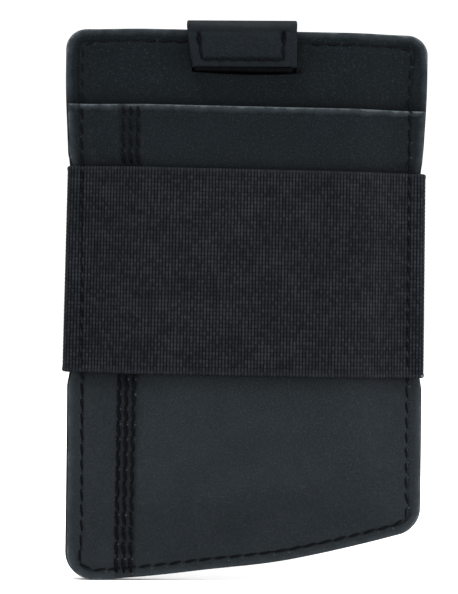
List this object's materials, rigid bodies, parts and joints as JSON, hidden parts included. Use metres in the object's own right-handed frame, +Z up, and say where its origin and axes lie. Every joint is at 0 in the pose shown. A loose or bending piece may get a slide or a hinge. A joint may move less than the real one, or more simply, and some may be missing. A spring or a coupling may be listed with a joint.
{
  "type": "minimalist wallet",
  "caption": "Slim upright leather card wallet with a wide elastic band, a front slip pocket and a pull tab that raises the cards.",
  "frame": {"origin": "centre of the wallet's footprint, at the lowest point of its bottom edge", "axes": "+X across the wallet to the viewer's right, +Y out of the back, +Z up the wallet towards the card mouth and pull tab"},
  "size_m": [0.0702, 0.012, 0.1099],
  "materials": {
    "body_leather": "brushed blue-black nubuck",
    "tab_leather": "brushed blue-black nubuck",
    "pocket_lining": "black woven polyester",
    "band_elastic": "black woven elastic",
    "strap_webbing": "black ribbed webbing",
    "thread": "black waxed polyester thread"
  },
  "bodies": {
    "wallet": {"back_panel": "body_leather", "back_lining": "pocket_lining", "card_pocket_panel": "body_leather", "card_pocket_lining": "pocket_lining", "front_pocket_panel": "body_leather", "elastic_band": "band_elastic", "seam_thread_front": "thread", "seam_thread_back": "thread", "card_pocket_top_thread": "thread", "back_top_thread": "thread", "accent_thread_left": "thread", "accent_thread_middle": "thread", "accent_thread_right": "thread", "strap_rear_run": "strap_webbing", "strap_anchor": "strap_webbing", "strap_anchor_thread": "thread"},
    "strap": {"strap_leg": "strap_webbing", "strap_front_run": "strap_webbing"},
    "tab": {"pull_tab": "tab_leather", "strap_tab_end": "strap_webbing", "tab_thread": "thread", "tab_tack_threads": "thread"},
    "strap_loop": {"strap_fold": "strap_webbing"}
  },
  "joints": [
    {"name": "strap_pull", "type": "slide", "parent": "wallet", "child": "strap", "axis": [0, 0, 1], "range_m": [0, 0.036]},
    {"name": "tab_lift", "type": "hinge", "parent": "strap", "child": "tab", "pos_m": [-0.0012, -0.00487, 0.0998], "axis": [1, 0, 0], "range_deg": [0, 100]},
    {"name": "loop_rise", "type": "slide", "parent": "strap", "child": "strap_loop", "axis": [0, 0, 1], "range_m": [-0.018, 0], "deforming": ["strap_front_run", "strap_rear_run"]}
  ],
  "couplings": [
    {"joint": "loop_rise", "follows": "strap_pull", "ratio": -0.5}
  ]
}
